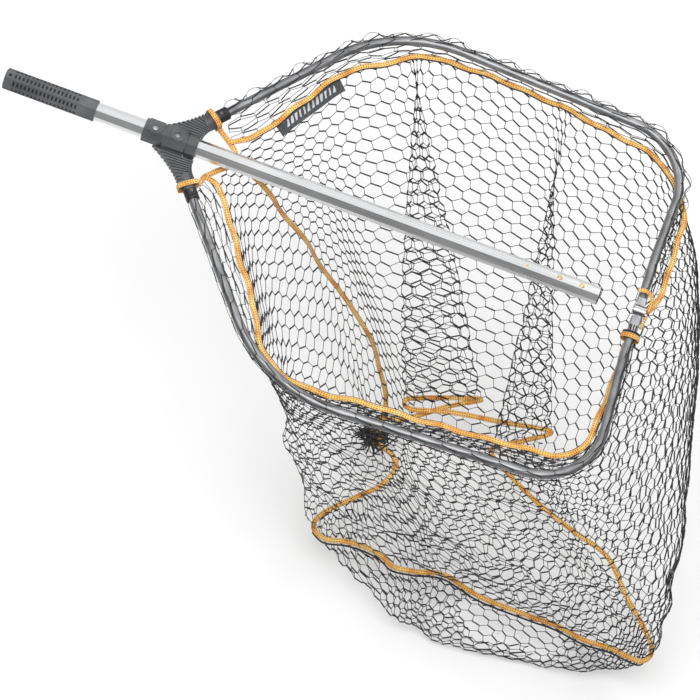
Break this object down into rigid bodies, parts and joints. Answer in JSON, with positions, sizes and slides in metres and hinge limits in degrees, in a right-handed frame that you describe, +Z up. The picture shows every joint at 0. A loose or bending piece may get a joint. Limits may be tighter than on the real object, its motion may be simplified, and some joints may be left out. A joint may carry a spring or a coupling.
{
  "type": "folding landing net",
  "caption": "Folding landing net: an octagonal pole that pushes through a hinged yoke, a hoop in two halves and a deep hexagonal-mesh bag with orange hem tapes.",
  "frame": {"origin": "on the pole's axis at the middle of the grip", "axes": "+X forward along the pole to the hoop, +Y to the left half, +Z up, away from the bag"},
  "size_m": [1.3676, 0.7675, 0.6657],
  "materials": {
    "polished_aluminium": "polished",
    "grip_rubber": "satin",
    "black_plastic": "satin",
    "spring_steel": "satin",
    "brass": "polished",
    "yoke_plastic": "satin",
    "bush_plastic": "satin",
    "anodised_tube": "satin",
    "rivet_steel": "satin",
    "hinge_metal": "satin",
    "band_rubber": "satin",
    "orange_webbing": "woven",
    "label_cloth": "woven",
    "net_twine": "knotless netting"
  },
  "bodies": {
    "pole": {"pole_tube": "polished_aluminium", "grip": "grip_rubber", "nose_plug": "black_plastic", "snap_spring": "spring_steel", "spring_rivet": "brass"},
    "rear_button": {"rear_button": "brass"},
    "front_button": {"front_button": "brass"},
    "left_half": {"yoke_bush": "bush_plastic", "left_arm": "yoke_plastic", "left_frame_tube": "anodised_tube", "left_tube_rivet": "rivet_steel", "left_socket_clip": "black_plastic", "hinge_fork": "hinge_metal", "hinge_pin": "hinge_metal", "left_yoke_strap": "orange_webbing", "left_hem_tape": "orange_webbing", "left_hinge_loop": "orange_webbing", "label_tag": "label_cloth", "net_bag_left": "net_twine"},
    "right_half": {"right_arm": "yoke_plastic", "right_frame_tube": "anodised_tube", "right_tube_rivet": "rivet_steel", "right_socket_clip": "black_plastic", "hinge_tongue": "hinge_metal", "front_ferrule": "hinge_metal", "ferrule_band": "band_rubber", "ferrule_tape": "orange_webbing", "right_yoke_strap": "orange_webbing", "right_hem_tape": "orange_webbing", "right_hinge_loop": "orange_webbing", "net_bag_right": "net_twine", "bottom_edge_tape": "orange_webbing", "centre_tape": "orange_webbing"}
  },
  "joints": [
    {"name": "head_slide", "type": "slide", "parent": "pole", "child": "left_half", "axis": [1, 0, 0], "range_m": [0, 0.7025]},
    {"name": "frame_fold", "type": "hinge", "parent": "left_half", "child": "right_half", "pos_m": [0.209, 0, 0], "axis": [-1, 0, 0], "range_deg": [0, 172]},
    {"name": "rear_button_press", "type": "slide", "parent": "pole", "child": "rear_button", "axis": [0, 0, -1], "range_m": [0, 0.003], "stiffness_N_per_m": 400, "deforming": ["snap_spring"]},
    {"name": "front_button_press", "type": "slide", "parent": "pole", "child": "front_button", "axis": [0, 0, -1], "range_m": [0, 0.003], "stiffness_N_per_m": 400, "deforming": ["snap_spring"]}
  ]
}
